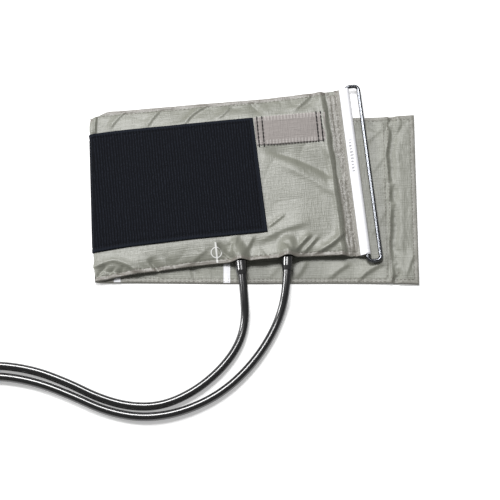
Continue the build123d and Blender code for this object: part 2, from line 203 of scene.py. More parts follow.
UPPER_CREASES = (
    # start, end, height, width, bow: beside the exits and up to the pocket seam
    ((180, 5), (206, 21), 2.5, 2.2, -2.0),
    ((163, 7), (177, 20), 2.6, 2.0, 0.5),
    ((169, 5), (183, 18), 1.6, 1.3, 0.0),
    ((155, 16), (163, 4), -1.9, 1.5, 0.0),
    ((137, 20), (176, 31), 1.2, 4.5, 2.0),
    ((143, 30), (158, 40), 0.9, 1.3, 0.0),
    ((101, 20), (114, 5), -2.5, 1.3, -1.5),
    ((112, 6), (112, 20), -1.5, 1.4, 0.0),
    ((111, 8), (118, 26), 1.2, 2.0, 0.0),
    ((122, 10), (131, 24), 1.0, 2.0, 0.0),
    # under the strap, towards the pocket seam
    ((150, 99), (206, 66), -2.6, 7.0, 3.0),
    ((160, 84), (203, 52), 1.1, 6.0, 2.0),
    ((196, 98), (203, 60), 0.8, 2.2, 1.0),
    # front band and the fold's front corner
    ((-1, 11), (17, 16), 1.2, 1.8, 1.0),
    ((15, 16), (35, 3), 1.6, 2.2, 1.5),
    ((1, 2), (10, 12), -1.0, 1.2, 0.5),
    ((9, 2), (17, 10), -0.9, 1.1, 0.0),
    ((19, 3), (24, 10), -0.7, 1.2, 0.0),
    ((4, 8), (25, 4), -1.3, 1.7, 0.0),
    ((44, 13), (52, 2), -1.9, 1.8, 0.0),
    ((58, 12), (66, 3), -0.6, 1.6, 0.0),
    ((76, 6), (92, 17), 0.8, 2.6, 0.0),
    # back band and the fold's back corner
    ((9, 128), (12, 148), 1.6, 1.5, 0.5),
    ((1, 126), (5, 143), -1.1, 1.4, 0.0),
    ((22, 132), (36, 146), 0.9, 1.8, 1.0),
    ((52, 129), (66, 145), 1.0, 2.2, 1.0),
    ((84, 129), (104, 144), 1.5, 2.2, 2.0),
    ((112, 131), (124, 142), 0.9, 1.8, -1.0),
    ((150, 131), (141, 143), -1.0, 2.0, 0.0),
    ((176, 131), (192, 145), 0.9, 2.2, 0.0),
)


def exit_tent(u, v):
    """Cloth raised over the two tube sleeves: flat-topped bells across, fading inwards from the edge."""
    raised = 0.0
    for at, lean in zip(EXITS_U, (-0.1, 0.12)):
        width = 6.4 - 0.12 * np.clip(v - 9, 0, 20)
        across = np.exp(-np.abs((u - at - lean * v) / width) ** 2.4)
        raised = np.maximum(raised, across * ease(1 - (v - 6) / 20) * (1 - 0.12 * bell(v - 14, 5)))
    middle = sum(EXITS_U) / 2
    between = 0.34 * bell(u - middle, 17) * ease(1 - v / 17)
    return (SLEEVE_TOP + CLOTH - COVER_TOP + 1.0) * np.maximum(raised, between)


def bladder_swell(u, v):
    """The slack bladder still fills its pocket a little, and the cloth slopes down all round it."""
    across = ease((v - 4) / 20) * ease((142 - v) / 15)
    towards_pocket_end = 0.6 * ease((205.5 - u) / 4.5) + 0.4 * ease((200 - u) / 30)
    return 2.6 * across * ease((u - HALF_LIE * v - 2) / 85) * towards_pocket_end


def front_lift(u, v):
    """The front edge stands a little off the tail, and most between the tubes."""
    middle = sum(EXITS_U) / 2
    height = 0.6 + 1.6 * bell(u - middle, 30) + 0.9 * ease((u - middle) / 30)
    return height * ease((u - 12) / 26) * ease((218 - u) / 16) * ease(1 - v / 20)


def upper_relief(u, v):
    """What lifts the upper half from lying flat: broad waves, crumpled bands along its edges, and folds."""
    free = ease((u - HALF_LIE * v) / 14) * ease((212 - u) / 12)
    waves = 0.55 * ripple(u, v, 105, 0.6) + 0.25 * ripple(u, v, 41, 2.1)
    bands = (0.7 * ease((v - 124) / 10) * crumple(u, v, 24, 1.9)
             + 0.6 * ease((26 - v) / 14) * crumple(u, v, 24, 0.4))
    field = (0.6 * ease((u - 140) / 8) * crumple(u, v, 52, 2.7)
             + 0.35 * bell(u - 198, 9) * crumple(u, v, 17, 0.9))
    folds = sum(crease(u, v, *each) for each in UPPER_CREASES)
    return 0.15 + (waves + bands + field) * free + folds + bladder_swell(u, v) + front_lift(u, v)


def pocket_relief(u, v):
    """The bladder pocket's end: the cloth falls from the bladder to the hem, with uneven puckers below."""
    line = 204.0 + 1.2 * np.sin(v / 31) + 0.5 * np.sin(v / 5.3 + 2 * np.sin(v / 17))
    uneven = 2 * crumple(u, v, 6, 0.4) - 1
    pucker = 0.3 * uneven * ease((u - line) / 1.5) * ease((TAPE_START - u) / 3)
    fall = -1.6 * ease((u - line + 1.4) / 2.8) - 0.5 * bell(u - line - 1.6, 1.3) * (0.7 + 0.3 * uneven)
    seams = -0.22 * (bell(u - HEM_SEAMS[0], 0.7) + bell(u - HEM_SEAMS[1], 0.7))
    return 1.0 * bell(u - line + 3.4, 2.4) + fall + pucker + seams


def cover_top(u, v):
    """Height of the upper half's outer face."""
    depth = np.minimum(v - front_edge(u), back_edge(u) - v)
    flat = COVER_TOP + upper_relief(u, v) + pocket_relief(u, v)
    return flat + hem_relief(depth, u) * ease((216 - u) / 4) + exit_tent(u, v)


def lining_top(u, v):
    """Height of the upper half's lining: flat, and raised with the front edge."""
    return LINING_TOP + 0.75 * front_lift(u, v)


# --- the tail's shape -------------------------------------------------------------------------------------
TAIL_CREASES = (
    ((189, 3), (206, 16), 1.2, 2.2, 1.0),
    ((213, 2), (233, 16), 1.5, 2.2, 1.5),
    ((163, 4), (171, 18), 1.1, 2.0, 0.0),
    ((140, 4), (150, 16), 0.4, 2.2, 0.0),
    ((75, 18), (81, 1), -1.3, 1.9, 0.0),
    ((45, 6), (58, 1), -0.5, 1.6, 0.0),
    ((92, 12), (97, 2), -0.4, 1.5, 0.0),
    ((222, 122), (237, 136), 0.5, 2.4, 1.0),
    ((218, 140), (236, 128), -0.5, 2.6, 1.0),
    ((226, 96), (238, 112), 0.4, 3.0, 0.0),
    ((224, 40), (236, 62), 0.4, 3.4, 0.0),
    ((252, 6), (259, 26), 0.7, 1.8, 0.0),
    ((239, 142), (244, 128), -0.9, 1.5, 0.0),
    ((252, 137), (244, 124), -0.8, 1.6, 0.0),
)


def tail_front(x):
    """y of the tail's front edge."""
    return through(x, (-6, 0, 30, 120, 200, 240, 264), (0.8, 0.3, 0.2, -0.4, -0.2, -0.6, -1.4))


def tail_back(x):
    """y of the tail's back edge."""
    return through(x, (-6, 4, 14, 120, 210, 238, 250, 264),
                   (143.5, 145.0, 147.2, 146.8, 145.4, 145.6, 146.6, 147.6))


def seam_relief(x, y):
    """The seam where the hook flap starts: a puckered line, and beyond it a ridge and a wavy hollow."""
    line = SEAM_X + 0.5 * np.sin(y / 19) + 0.2 * np.sin(y / 3.1)
    uneven = np.sin(y / 1.2 + 2.0 * np.sin(y / 6.3) + np.sin(y / 17))
    pucker = 0.13 * uneven * bell(x - line + 1.4, 1.6)
    beyond = x - line - 4.6 - 1.1 * np.sin(y / 9 + 1.3 * np.sin(y / 23))
    blotches = 0.6 + 0.4 * np.sin(y / 5.4 + 2 * np.sin(y / 12))
    hollow = -1.35 * np.exp(-np.abs(beyond / np.where(beyond < 0, 2.0, 3.6)) ** 3)
    ridge = 1.3 * bell(beyond + 3.6, 1.5) + 0.3 * bell(beyond - 6.5, 3.0)
    rumpled = 0.9 * (crumple(x, y, 9, 2.2) - 0.6) * bell(beyond + 0.5, 3.6)
    return -0.3 * bell(x - line, 0.8) + pucker + (hollow + ridge) * blotches + rumpled


def tail_relief(x, y):
    """The tail sinks to the floor where neither the loop patch nor the hook strip is under it."""
    clear = ease((x - 112) / 14) * ease((236 - x) / 12)
    edges = np.maximum(ease((18 - y) / 14), ease((y - 131) / 14)) * ease((x - 10) / 24) * ease((236 - x) / 12)
    sunk = -0.8 * np.maximum(clear, edges)
    folds = sum(crease(x, y, *each) for each in TAIL_CREASES)
    uneven = 0.12 * ripple(x, y, 34, 0.9) + 0.35 * crumple(x, y, 31, 1.2) * ease((x - 110) / 60)
    corners = 0.4 + bell(y - 5, 22) + bell(y - 140, 22)
    uneven = uneven + 0.45 * crumple(x, y, 13, 0.3) * ease((x - SEAM_X - 2) / 4) * corners
    return sunk + uneven * ease(x / 20) + folds + seam_relief(x, y)


def tail_surface(x, y):
    """Height of the tail's inner face, which lies upwards."""
    depth = np.minimum(y - tail_front(x), tail_back(x) - y)
    depth = np.minimum(depth, TAIL_END_X - x)
    stitched = -0.2 * bell(depth - 3.4, 0.55) * (0.6 + 0.4 * np.cos(2 * math.pi * (x + y) / 3.1))
    pucker = 0.1 * np.sin(2 * math.pi * (x + y) / 6.3) * bell(depth - 3.4, 2.4)
    inside = np.clip(0.7 - depth, 0, 0.7)
    rounded = -(0.7 - np.sqrt(0.49 - inside ** 2))
    return np.maximum(TAIL_TOP + tail_relief(x, y) + stitched + pucker + rounded, 2 * CLOTH + 0.05)


# --- frames -----------------------------------------------------------------------------------------------
def upper_place(u, v, z):
    """Points of the upper half's frame, in metres in the row frame."""
    u, v, z = np.broadcast_arrays(u, v, z)
    return (np.stack((u, v, z), axis=-1) + CORNER) * MM


def tail_place(x, y, z):
    """Points of the tail's frame: turned clockwise about the fold's front corner."""
    return upper_place(x * math.cos(LIE) + y * math.sin(LIE), y * math.cos(LIE) - x * math.sin(LIE), z)


def fold_place(n, a, z):
    """Points beside the fold line: n square to it, a along it."""
    lean = LIE / 2
    return upper_place(n * math.cos(lean) + a * math.sin(lean), a * math.cos(lean) - n * math.sin(lean), z)


# --- meshes -----------------------------------------------------------------------------------------------
def make_mesh(name, points, quads, material, paint=None, flat_cloth=None, sharp=None):
    """A mesh piece from points and quads. paint is one number a point, flat_cloth two, for the material."""
    mesh = bpy.data.meshes.new(name)
    mesh.vertices.add(len(points))
    mesh.vertices.foreach_set("co", np.ascontiguousarray(points, np.float32).ravel())
    mesh.loops.add(quads.size)
    mesh.loops.foreach_set("vertex_index", quads.ravel().astype(np.int32))
    mesh.polygons.add(len(quads))
    mesh.polygons.foreach_set("loop_start", np.arange(0, quads.size, 4, dtype=np.int32))
    mesh.polygons.foreach_set("use_smooth", np.ones(len(quads), bool))
    mesh.update(calc_edges=True)
    if paint is not None:
        mesh.attributes.new("paint", "FLOAT", "POINT").data.foreach_set("value", paint.astype(np.float32))
    if flat_cloth is not None:
        spread = mesh.uv_layers.new(name="cloth")
        spread.data.foreach_set("uv", flat_cloth[quads.ravel()].astype(np.float32).ravel())
    if sharp is not None:
        ends = np.empty(len(mesh.edges) * 2, np.int32)
        mesh.edges.foreach_get("vertices", ends)
        ends = ends.reshape(-1, 2)
        cut = (sharp[ends[:, 0]] > 0) & (sharp[ends[:, 0]] == sharp[ends[:, 1]])
        mesh.attributes.new("sharp_edge", "BOOLEAN", "EDGE").data.foreach_set("value", cut)
    mesh.materials.append(material)
    mesh.validate()
    piece = bpy.data.objects.new(name, mesh)
    bpy.context.scene.collection.objects.link(piece)
    return piece


def grid_quads(rows, columns, closed=False):
    """Corner numbers of the quads of a grid of points; closed joins its last column to its first."""
    i = np.arange(rows - 1)[:, None]
    j = np.arange(columns if closed else columns - 1)[None, :]
    right = (j + 1) % columns
    return np.stack((i * columns + j, (i + 1) * columns + j, (i + 1) * columns + right, i * columns + right),
                    axis=-1).reshape(-1, 4)


def grid_normals(grid):
    """Unit normals of a grid of points, from its slopes along both ways."""
    normals = np.cross(np.gradient(grid, axis=0), np.gradient(grid, axis=1))
    return normals / np.maximum(np.linalg.norm(normals, axis=-1, keepdims=True), 1e-12)


def sheet_piece(name, grid, thickness, material, flat_cloth, paint=None):
    """Cloth: the grid is its outer face, the inner face is one thickness under it, and a rim joins them."""
    rows, columns = grid.shape[:2]
    count = rows * columns
    inner = grid - grid_normals(grid) * thickness * MM
    top = grid_quads(rows, columns)
    index = np.arange(count).reshape(rows, columns)
    rim = np.concatenate((index[0], index[1:, -1], index[-1, -2::-1], index[-2:0:-1, 0]))
    after = np.roll(rim, -1)
    sides = np.stack((rim, after, after + count, rim + count), axis=-1)
    quads = np.concatenate((top, top[:, ::-1] + count, sides))
    sharp = np.zeros(2 * count, int)
    sharp[rim], sharp[rim + count] = 1, 2
    paint = None if paint is None else np.tile(np.broadcast_to(paint, (rows, columns)).ravel(), 2)
    flat = np.tile(np.stack(np.broadcast_arrays(*flat_cloth), axis=-1).reshape(-1, 2) * MM, (2, 1))
    points = np.concatenate((grid.reshape(-1, 3), inner.reshape(-1, 3)))
    return make_mesh(name, points, quads, material, paint, flat, sharp)


def stitches(name, centres, ways, length, radius, material):
    """Sewing stitches: each a short thread, a capsule that dips into the cloth at both ends."""
    centres, ways = np.asarray(centres, float), np.asarray(ways, float)
    ways = ways / np.linalg.norm(ways, axis=-1, keepdims=True)
    sides = np.cross([0.0, 0.0, 1.0], ways)
    sides = sides / np.linalg.norm(sides, axis=-1, keepdims=True)
    ups = np.cross(ways, sides)
    along = np.array([-0.5, -0.42, -0.22, 0.0, 0.22, 0.42, 0.5]) * length
    thick = np.array([0.25, 0.75, 1.0, 1.0, 1.0, 0.75, 0.25]) * radius
    rise = np.array([-1.3, -0.55, 0.1, 0.3, 0.1, -0.55, -1.3]) * radius
    turn = np.arange(6) * math.pi / 3
    ring = (along[:, None, None, None] * ways
            + (thick[:, None] * np.cos(turn))[..., None, None] * sides
            + (rise[:, None] + thick[:, None] * np.sin(turn))[..., None, None] * ups) + centres
    points = np.moveaxis(ring, 2, 0).reshape(-1, 3) * MM
    one = grid_quads(len(along), len(turn), closed=True)
    caps = np.array([[0, 3, 2, 1], [0, 5, 4, 3], [36, 37, 38, 39], [36, 39, 40, 41]])
    one = np.concatenate((one[:, ::-1], caps[:, ::-1]))
    quads = (np.arange(len(centres))[:, None, None] * len(along) * len(turn) + one).reshape(-1, 4)
    return make_mesh(name, points, quads, material)


def join(name, *pieces):
    """One piece of several: the first takes the others' meshes."""
    for piece in bpy.context.scene.objects:
        piece.select_set(piece in pieces)
    bpy.context.view_layer.objects.active = pieces[0]
    bpy.ops.object.join()
    pieces[0].name = name
    return pieces[0]


HEM_ROWS = np.array((0, 0.12, 0.3, 0.5, 0.75, 1.0, 1.4, 1.9, 2.4, 2.9, 3.4, 3.9, 4.5, 5.2, 6, 7, 8))


def spaced_rows(low, high, step):
    """Stations from low to high: close together at both edges, where the hems are, and step apart between."""
    near = low + HEM_ROWS
    far = high - HEM_ROWS[::-1]
    count = int((far[0] - near[-1]) / step)
    return np.concatenate((near, np.linspace(near[-1], far[0], count + 1)[1:-1], far))


# --- materials --------------------------------------------------------------------------------------------
def linear(hex_colour):
    """An sRGB colour such as 'b1b2aa' as linear RGBA."""
    parts = [int(hex_colour[i:i + 2], 16) / 255 for i in (0, 2, 4)]
    return (*(c / 12.92 if c <= 0.04045 else ((c + 0.055) / 1.055) ** 2.4 for c in parts), 1.0)


def new_material(name, **surface_values):
    """A material and its tree; the values go straight onto the surface's own sockets."""
    material = bpy.data.materials.new(name)
    material.use_nodes = True
    surface = material.node_tree.nodes["Principled BSDF"]
    for key, value in surface_values.items():
        surface.inputs[key.replace("_", " ")].default_value = value
    return material, material.node_tree, surface


def add(tree, kind, links=None, values=None, **settings):
    """Adds a node with its settings, the values of its inputs, and the sockets that feed its inputs."""
    made = tree.nodes.new(kind)
    for key, value in settings.items():
        setattr(made, key, value)
    for key, value in (values or {}).items():
        made.inputs[key].default_value = value
    for key, socket in (links or {}).items():
        tree.links.new(socket, made.inputs[key])
    return made


def blended(tree, factor, first, second):
    """A colour from first to second as the factor goes from 0 to 1; each is a hex colour or a socket."""
    links, values = {0: factor}, {}
    for index, colour in ((6, first), (7, second)):
        if isinstance(colour, str):
            values[index] = linear(colour)
        else:
            links[index] = colour
    return add(tree, "ShaderNodeMix", links, values, data_type="RGBA").outputs[2]


def scaled(tree, socket, factor):
    """The socket's value times a factor."""
    return add(tree, "ShaderNodeMath", {0: socket}, {1: factor}, operation="MULTIPLY").outputs[0]


SLUB = 1.0                                        # mm between the thicker yarns that show in the cloth


def woven(name, colour, deep, worn, thread_mm, depth_mm, slubs=0.35, painted=None, patches_mm=34.0,
          **surface_values):
    """Plain weave: two sets of threads crossing at thread_mm, over a mottle of soft patches, with streaks of
    thicker yarn both ways in the worn colour. Where the piece's paint is 1, the colour is the painted one."""
    material, tree, surface = new_material(name, **surface_values)
    spread = add(tree, "ShaderNodeUVMap", uv_map="cloth").outputs[0]
    place = add(tree, "ShaderNodeTexCoord").outputs["Object"]
    threads = [add(tree, "ShaderNodeTexWave", {"Vector": spread}, {"Scale": 1000 * math.pi / (10 * thread_mm),
                   "Distortion": 0.5, "Detail": 1.0}, bands_direction=way).outputs["Fac"] for way in "XY"]
    weave = add(tree, "ShaderNodeMath", {0: threads[0], 1: threads[1]}, operation="MULTIPLY").outputs[0]
    mottle = add(tree, "ShaderNodeTexNoise", {"Vector": place}, {"Scale": 1000 / patches_mm, "Detail": 5.0,
                 "Roughness": 0.62}).outputs["Fac"]
    tint = blended(tree, mottle, deep, colour)
    streaks = []
    for stretch in ((1000 / 15, 1000 / SLUB, 1), (1000 / SLUB, 1000 / 9, 1)):
        drawn = add(tree, "ShaderNodeMapping", {"Vector": spread}, {"Scale": stretch}).outputs[0]
        slub = add(tree, "ShaderNodeTexNoise", {"Vector": drawn}, {"Scale": 1.0, "Detail": 2.0})
        streak = add(tree, "ShaderNodeMapRange", {"Value": slub.outputs["Fac"]},
                     {"From Min": 0.4, "From Max": 0.7})
        streaks.append(streak.outputs[0])
        tint = blended(tree, scaled(tree, streaks[-1], slubs), tint, worn)
    yarns = add(tree, "ShaderNodeMath", {0: streaks[0], 1: streaks[1]}, operation="ADD").outputs[0]
    yarns = add(tree, "ShaderNodeBump", {"Height": yarns},
                {"Strength": 1.0, "Distance": 1.3 * depth_mm * MM}).outputs[0]
    if painted:
        paint = add(tree, "ShaderNodeAttribute", attribute_name="paint").outputs["Fac"]
        tint = blended(tree, paint, tint, painted)
    shade = blended(tree, scaled(tree, weave, 0.5), tint, deep)
    tree.links.new(shade, surface.inputs["Base Color"])
    raised = add(tree, "ShaderNodeBump", {"Height": weave, "Normal": yarns},
                 {"Strength": 0.6, "Distance": depth_mm * MM})
    tree.links.new(raised.outputs[0], surface.inputs["Normal"])
    return material


def loop_pile_material():
    """Brushed nylon loop: ribs of tiny loops that swallow light, with a greyer woven edge."""
    material, tree, surface = new_material("brushed_loop_pile", Roughness=0.9, Specular_IOR_Level=0.15)
    spread = add(tree, "ShaderNodeUVMap", uv_map="cloth").outputs[0]
    # ribs of two or three rows of loops, 2.3 mm apart
    ribs = add(tree, "ShaderNodeTexWave", {"Vector": spread}, {"Scale": 1000 * math.pi / (10 * 2.3),
               "Distortion": 2.6, "Detail": 2.0}, bands_direction="X").outputs["Fac"]
    loops = add(tree, "ShaderNodeTexVoronoi", {"Vector": spread}, {"Scale": 1000 / 1.0}).outputs["Distance"]
    fuzz = add(tree, "ShaderNodeMath", {0: ribs, 1: loops}, operation="MULTIPLY").outputs[0]
    pile = blended(tree, fuzz, "05060a", "272b35")
    wear = add(tree, "ShaderNodeTexNoise", {"Vector": spread}, {"Scale": 1000 / 26, "Detail": 4.0})
    pile = blended(tree, scaled(tree, wear.outputs["Fac"], 0.5), pile, "12141b")
    edge = add(tree, "ShaderNodeAttribute", attribute_name="paint").outputs["Fac"]
    tree.links.new(blended(tree, edge, pile, "1c2029"), surface.inputs["Base Color"])
    raised = add(tree, "ShaderNodeBump", {"Height": fuzz}, {"Strength": 0.9, "Distance": 0.5 * MM})
    tree.links.new(raised.outputs[0], surface.inputs["Normal"])
    return material


def hook_material():
    """Moulded hook tape: rows of tiny stiff hooks 1.6 mm apart on a black backing."""
    material, tree, surface = new_material("hook_tape", Roughness=0.5)
    place = add(tree, "ShaderNodeTexCoord").outputs["Object"]
    hooks = add(tree, "ShaderNodeTexVoronoi", {"Vector": place}, {"Scale": 1000 / 1.6, "Randomness": 0.25})
    tree.links.new(blended(tree, hooks.outputs["Distance"], "2e3036", "0d0e10"), surface.inputs["Base Color"])
    raised = add(tree, "ShaderNodeBump", {"Height": hooks.outputs["Distance"]},
                 {"Strength": 0.9, "Distance": 1.0 * MM})
    raised.invert = True
    tree.links.new(raised.outputs[0], surface.inputs["Normal"])
    return material


def fine_grain(name, colour, worn, grain_mm, depth_mm, **surface_values):
    """A moulded or drawn surface: one colour a little worn in patches, with a fine grain."""
    material, tree, surface = new_material(name, **surface_values)
    place = add(tree, "ShaderNodeTexCoord").outputs["Object"]
    wear = add(tree, "ShaderNodeTexNoise", {"Vector": place}, {"Scale": 1000 / 14, "Detail": 5.0})
    grain = add(tree, "ShaderNodeTexNoise", {"Vector": place}, {"Scale": 1000 / grain_mm, "Detail": 2.0})
    tree.links.new(blended(tree, wear.outputs["Fac"], colour, worn), surface.inputs["Base Color"])
    raised = add(tree, "ShaderNodeBump", {"Height": grain.outputs["Fac"]},
                 {"Strength": 0.5, "Distance": depth_mm * MM})
    tree.links.new(raised.outputs[0], surface.inputs["Normal"])
    return material


def spun_thread(name, colour, worn, sheen=0.3):
    """Spun polyester sewing thread: dull, with a soft sheen on the grey one and plies too fine to show."""
    return fine_grain(name, colour, worn, 0.35, 0.08, Roughness=0.7, Specular_IOR_Level=0.2,
                      Sheen_Weight=sheen)


# Coated nylon: a flat weave of 0.45 mm yarns, drawn at 0.9 mm so that it shows, with a faint waxy gloss
# Its painted colour, on the hems and the band past the pocket seam, is the sewn hems' brownish tone, darkened
# further as painted shade
cover_nylon = woven("coated_nylon", "84857a", "707167", "95968b", 0.9, 0.05, painted="7b766f",
                    Roughness=0.42, Specular_IOR_Level=0.85)
# The inner face is the same nylon without its coat: paler and duller
lining_nylon = woven("nylon_taffeta", "898a80", "76776d", "999a90", 0.8, 0.05, painted="827d77",
                     # Its painted colour, on the tail's hems, is the same brownish tone, darkened further as
                     # painted shade
                     Roughness=0.45, Specular_IOR_Level=0.7)
loop_pile = loop_pile_material()
hook_tape = hook_material()
# Polypropylene webbing: coarse 1.1 mm ribs across, with pale bars in its edges
strap_webbing = woven("polypropylene_webbing", "9c9592", "8f8986", "aaa4a1", 1.1, 0.12, painted="b9b4b1",
                      Roughness=0.8, Sheen_Weight=0.2)
# Polyester ribbon: smooth, bright white and almost without texture
white_tape = woven("polyester_ribbon", "f4f4f8", "eaeaf0", "ffffff", 0.7, 0.02, painted="55565c",
                   Roughness=0.55)
# Printed ink: a matt off-white film
white_ink = fine_grain("printed_white_ink", "e6e6e4", "d6d7d4", 0.6, 0.02, Roughness=0.6)
# Sewing threads: navy on the patch, grey on the hems, black on the strap
navy_thread = spun_thread("navy_polyester_thread", "0b0d12", "10131a", sheen=0.0)
grey_thread = spun_thread("grey_polyester_thread", "8a847d", "756f69")
black_thread = spun_thread("black_polyester_thread", "0c0c0e", "161618", sheen=0.0)
# Extruded black rubber tube: smooth and waxy, a narrow bright reflection along it
tube_rubber = fine_grain("extruded_rubber", "0d0d0f", "141416", 0.9, 0.015, Roughness=0.24,
                         Specular_IOR_Level=0.8, Coat_Weight=0.6, Coat_Roughness=0.2)
# Moulded black rubber: a little rougher than the tubes, with a stronger highlight
sleeve_rubber = fine_grain("moulded_rubber", "0c0c0d", "151517", 0.6, 0.03, Roughness=0.27,
                           Specular_IOR_Level=1.0, Coat_Weight=0.7)
# Calendered rubber sheet: dark grey and matt, hidden in its pocket
bladder_rubber = fine_grain("calendered_rubber", "1a1a1c", "242426", 0.8, 0.03, Roughness=0.6)
# Moulded nylon: off-white and half matt
connector_plastic = fine_grain("moulded_nylon", "d9d7cf", "cbc9c0", 0.5, 0.03, Roughness=0.4)
# Chromed steel wire: a hazed mirror, set darker than clean chrome to suit the bright room
chromed_wire = fine_grain("chromed_wire", "5c5e62", "6a6c70", 1.2, 0.004, Metallic=1.0, Roughness=0.17)


# --- cloth of the two halves ------------------------------------------------------------------------------
NOSE = 1.0                                        # the fold's centre, in from the fold line
FOLD_RADIUS = (COVER_TOP - TAIL_BOTTOM) / 2       # the outer cloth's half circle
ARC = np.radians(np.linspace(0, 84, 13))[:, None]  # round the fold, from its middle to flat
UPPER = dict(place=upper_place, lean=HALF_LIE, side=1, front=front_edge, back=back_edge)
TAIL = dict(place=tail_place, lean=-HALF_LIE, side=-1, front=tail_front, back=tail_back)


def half_depth(half, along, across):
    """How far a place on a half's cloth is in from its nearer long edge."""
    return np.minimum(across - half["front"](along), half["back"](along) - across)


def half_sheet(half, lengths, rows, height, middle, radius, far_end=None):
    """One face of a half's cloth: a quarter turn round the fold, from its middle, then out along the half.

    The face is at height(along, across) where it is flat, and as far from the fold's centre round the fold.
    rows are places across an even strip, which the half's two edges draw in; far_end slants its end.
    Gives the grid, and the cloth's own flat coordinates for its weave.
    """
    share = rows[None, :] / WIDTH
    across = half["front"](0.0) + (half["back"](0.0) - half["front"](0.0)) * share
    flat = middle + half["side"] * radius
    stands = radius + half["side"] * (height(NOSE + half["lean"] * across, across) - flat)
    turned = fold_place(NOSE - stands * np.cos(ARC), across, middle + half["side"] * stands * np.sin(ARC))
    along = np.repeat(lengths[:, None], len(rows), axis=1)
    if far_end:
        along = along * (far_end(share) / lengths[-1])
    over = half["front"](along) + (half["back"](along) - half["front"](along)) * share
    along = along + half["lean"] * over
    grid = np.concatenate((turned, half["place"](along, over, height(along, over))))
    cloth_along = np.concatenate((np.repeat(NOSE - radius * (math.pi / 2 - ARC), len(rows), axis=1), along))
    cloth_over = np.concatenate((np.repeat(across, len(ARC), axis=0), over))
    return grid, (cloth_along, cloth_over)


def flipped(grid, cloth_coordinates):
    """The same face looking down instead of up."""
    return grid[:, ::-1], tuple(each[:, ::-1] for each in cloth_coordinates)


def bend_at_fold(piece, half, middle, radius):
    """Bakes the piece's place into its mesh; nothing is bent at the fold and the piece goes on no body."""
    flat = fold_place(NOSE, 0, middle + half["side"] * radius)
    nose = fold_place(NOSE - radius, 0, middle)
    if half is UPPER:
        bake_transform(piece)
    else:
        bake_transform(piece)


def steps(low, high, step):
    """Even stations from low to high, about one step apart, both ends included."""
    return np.linspace(low, high, max(2, int(round((high - low) / step)) + 1))


def roll_height(u):
    """Height of the ring hem's roll, over the ring's bar."""
    return BAR_Z + np.sqrt(np.clip(HEM_RADIUS ** 2 - (u - BAR_U) ** 2, 0, None))


ROLL_START = BAR_U - 1.2                          # where the hem's cloth meets the roll


def hem_top(u, v):
    """Height of the cover where it climbs from the pocket seam onto the roll round the ring's bar."""
    climbing = ease((u - HEM_SEAMS[1]) / (ROLL_START - HEM_SEAMS[1]))
    return cover_top(u, v) * (1 - climbing) + (roll_height(np.maximum(u, ROLL_START)) - 0.05) * climbing


def round_the_bar(rows, outside, under_end):
    """Cloth turned round the ring's bar and back under it: an arc from the roll's top, then a flat tongue."""
    angles = np.radians(np.linspace(math.degrees(math.acos(-1.2 / HEM_RADIUS)) - 8, -90, 18))
    radius = HEM_RADIUS + outside
    u = np.concatenate((BAR_U + radius * np.cos(angles), steps(BAR_U - 1, under_end, 1.5)))
    z = np.concatenate((BAR_Z + radius * np.sin(angles), np.full(len(u) - len(angles), BAR_Z - radius)))
    share = rows / WIDTH
    ends = np.minimum(rows, WIDTH - rows)
    drawn = 0.5 * ease(1 - ends / 1.0)
    centre = np.where(u > BAR_U - 1.5, BAR_Z, BAR_Z - radius + 0.6)
    over = front_edge(u)[:, None] + (back_edge(u) - front_edge(u))[:, None] * share
    height = z[:, None] + (centre - z)[:, None] * drawn * 0.6
    return upper_place(u[:, None] + 0 * over, over, height), over


def upper_cover_piece():
    """The upper half's outer cloth: from the fold, over the bladder and round the ring's bar."""
    rows = spaced_rows(0, WIDTH, 1.05)
    lengths = np.concatenate((steps(NOSE, 16, 0.7), steps(16, 196, 1.0)[1:],
                              steps(196, ROLL_START - 8, 0.5)[1:]))
    grid, coordinates = half_sheet(UPPER, lengths, rows, hem_top, MID_Z, FOLD_RADIUS,
                                   far_end=lambda share: ROLL_START - HALF_LIE * WIDTH * share)
    roll, over = round_the_bar(rows, 0.0, 212)
    grid = np.concatenate((grid, roll))
    beyond = coordinates[0][-1][None, :] + 0.9 * np.arange(1, len(over) + 1)[:, None]
    coordinates = (np.concatenate((coordinates[0], beyond)), np.concatenate((coordinates[1], over)))
    depth = half_depth(UPPER, *coordinates)
    # Darker painted colour on the hem bands and past the pocket seam: partly the sewn hems' brownish tone,
    # partly painted shade along the edges
    sewn_and_shaded = np.maximum(ease((3.4 - depth) / 0.8), 0.75 * ease((coordinates[0] - 205) / 1.5))
    piece = sheet_piece("upper_cover", grid, CLOTH, cover_nylon, coordinates, paint=sewn_and_shaded)
    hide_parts("outer_cover", "spine_cover", "ring_hem")
    bend_at_fold(piece, UPPER, MID_Z, FOLD_RADIUS)


def upper_lining_piece():
    """The inner cloth under the bladder, from inside the fold to under the ring hem."""
    rows = spaced_rows(0, WIDTH, 2.0)
    middle = (LINING_TOP - CLOTH + TAIL_TOP) / 2
    grid, coordinates = half_sheet(UPPER, steps(NOSE, 210, 1.6), rows, lining_top, middle,
                                   LINING_TOP - middle)
    piece = sheet_piece("upper_lining", grid, CLOTH * 0.9, lining_nylon, coordinates)
    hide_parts("inner_lining", "spine_lining")
    bend_at_fold(piece, UPPER, middle, LINING_TOP - middle)


